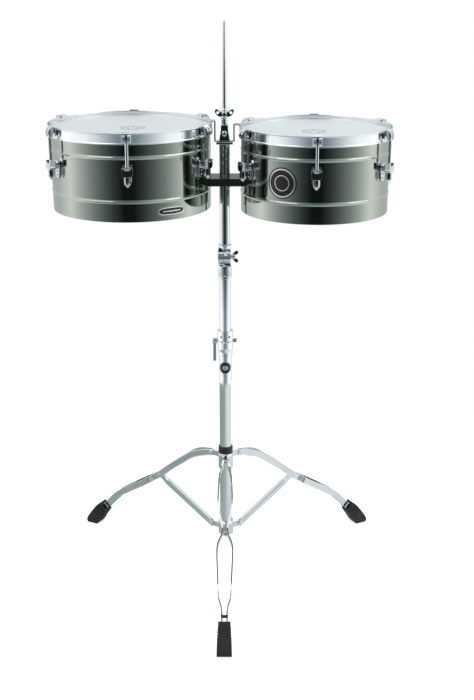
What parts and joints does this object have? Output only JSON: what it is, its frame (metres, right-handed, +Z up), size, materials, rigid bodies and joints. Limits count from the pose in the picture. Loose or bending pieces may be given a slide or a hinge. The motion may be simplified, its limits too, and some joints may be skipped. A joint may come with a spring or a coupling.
{
  "type": "timbales",
  "caption": "Pair of metal-shelled timbales on a crossbar, with an upright cowbell rod, a tilting height-adjustable column and a folding braced tripod.",
  "frame": {"origin": "middle of the bounding box on the floor; the column axis stands at x 7.5 mm, y 106.9 mm", "axes": "+Z up, +X from the large drum to the small one, -Y towards the front leg"},
  "size_m": [0.8282, 0.7042, 1.4106],
  "materials": {
    "black_nickel": "polished black nickel plate",
    "chrome": "polished chrome plate",
    "head_film": "satin film",
    "badge_metal": "black enamel with a bright rim",
    "badge_dark": "black enamel with a silver ring",
    "black_paint": "black powder coat",
    "black_plastic": "matte",
    "rubber": "matte"
  },
  "bodies": {
    "base": {"lower_tube": "chrome", "height_clamp": "chrome", "clamp_bolt": "chrome", "lower_hub": "chrome"},
    "collar": {"leg_collar": "chrome", "collar_bush": "black_plastic"},
    "lever": {"clamp_lever": "chrome"},
    "mast": {"middle_tube": "chrome", "memory_lock": "chrome", "tilter_lower": "chrome"},
    "tilter_screw": {"tilter_wing_screw": "chrome"},
    "tilt_head": {"tilter_upper": "chrome"},
    "drum_rack": {"large_shell": "black_nickel", "large_hoop": "chrome", "large_head": "head_film", "large_lug_1": "chrome", "large_tension_rod_1": "chrome", "large_lug_2": "chrome", "large_tension_rod_2": "chrome", "large_lug_3": "chrome", "large_tension_rod_3": "chrome", "large_lug_4": "chrome", "large_tension_rod_4": "chrome", "large_lug_5": "chrome", "large_tension_rod_5": "chrome", "large_lug_6": "chrome", "large_tension_rod_6": "chrome", "small_shell": "black_nickel", "small_hoop": "chrome", "small_head": "head_film", "small_lug_1": "chrome", "small_tension_rod_1": "chrome", "small_lug_2": "chrome", "small_tension_rod_2": "chrome", "small_lug_3": "chrome", "small_tension_rod_3": "chrome", "small_lug_4": "chrome", "small_tension_rod_4": "chrome", "small_lug_5": "chrome", "small_tension_rod_5": "chrome", "small_lug_6": "chrome", "small_tension_rod_6": "chrome", "large_badge": "badge_metal", "small_badge": "badge_dark", "upper_tube": "chrome", "crossbar": "black_paint", "top_plate": "chrome", "rim_strap": "chrome", "rod_clamp": "chrome"},
    "bell_rod": {"cowbell_rod": "chrome"},
    "wing_bolt": {"rod_wing_bolt": "chrome"},
    "front_brace": {"brace_front": "chrome"},
    "front_leg": {"leg_front": "chrome", "foot_front": "rubber"},
    "left_brace": {"brace_left": "chrome"},
    "left_leg": {"leg_left": "chrome", "foot_left": "rubber"},
    "right_brace": {"brace_right": "chrome"},
    "right_leg": {"leg_right": "chrome", "foot_right": "rubber"}
  },
  "joints": [
    {"name": "brace_front_fold", "type": "hinge", "parent": "base", "child": "front_brace", "pos_m": [0.00749, 0.06387, 0.0985], "axis": [-1, 0, 0], "range_deg": [0, 50]},
    {"name": "leg_front_fold", "type": "hinge", "parent": "front_brace", "child": "front_leg", "pos_m": [0.00749, -0.10368, 0.20401], "axis": [-1, 0, 0], "range_deg": [-100, 0]},
    {"name": "brace_left_fold", "type": "hinge", "parent": "base", "child": "left_brace", "pos_m": [-0.02975, 0.12837, 0.0985], "axis": [0.5, 0.866, 0], "range_deg": [0, 50]},
    {"name": "leg_left_fold", "type": "hinge", "parent": "left_brace", "child": "left_leg", "pos_m": [-0.17485, 0.21214, 0.20401], "axis": [0.5, 0.866, 0], "range_deg": [-100, 0]},
    {"name": "brace_right_fold", "type": "hinge", "parent": "base", "child": "right_brace", "pos_m": [0.04473, 0.12837, 0.0985], "axis": [0.5, -0.866, 0], "range_deg": [0, 50]},
    {"name": "leg_right_fold", "type": "hinge", "parent": "right_brace", "child": "right_leg", "pos_m": [0.18982, 0.21214, 0.20401], "axis": [0.5, -0.866, 0], "range_deg": [-100, 0]},
    {"name": "leg_collar_slide", "type": "slide", "parent": "base", "child": "collar", "axis": [0, 0, 1], "range_m": [0, 0.1815]},
    {"name": "column_height", "type": "slide", "parent": "base", "child": "mast", "axis": [0, 0, 1], "range_m": [0, 0.15]},
    {"name": "clamp_lever_turn", "type": "hinge", "parent": "base", "child": "lever", "pos_m": [-0.01751, 0.13187, 0.6216], "axis": [1, 0, 0], "range_deg": [-20, 100]},
    {"name": "drum_tilt", "type": "hinge", "parent": "mast", "child": "tilt_head", "pos_m": [0.00749, 0.10687, 0.8495], "axis": [1, 0, 0], "range_deg": [-45, 45]},
    {"name": "tilter_screw_turn", "type": "hinge", "parent": "mast", "child": "tilter_screw", "pos_m": [0.02749, 0.10687, 0.8495], "axis": [1, 0, 0], "continuous": true},
    {"name": "rack_swivel", "type": "hinge", "parent": "tilt_head", "child": "drum_rack", "pos_m": [0.00749, 0.10687, 0.9], "axis": [0, 0, 1], "continuous": true},
    {"name": "bell_rod_slide", "type": "slide", "parent": "drum_rack", "child": "bell_rod", "axis": [0, 0, 1], "range_m": [-0.12, 0.04]},
    {"name": "rod_wing_turn", "type": "hinge", "parent": "drum_rack", "child": "wing_bolt", "pos_m": [0.00749, 0.08887, 1.2003], "axis": [0, -1, 0], "continuous": true}
  ],
  "couplings": [
    {"joint": "leg_front_fold", "follows": "brace_front_fold", "ratio": -2},
    {"joint": "brace_left_fold", "follows": "brace_front_fold", "ratio": 1},
    {"joint": "leg_left_fold", "follows": "brace_front_fold", "ratio": -2},
    {"joint": "brace_right_fold", "follows": "brace_front_fold", "ratio": 1},
    {"joint": "leg_right_fold", "follows": "brace_front_fold", "ratio": -2},
    {"joint": "leg_collar_slide", "follows": "brace_front_fold", "m_per_rad": 0.2077}
  ]
}
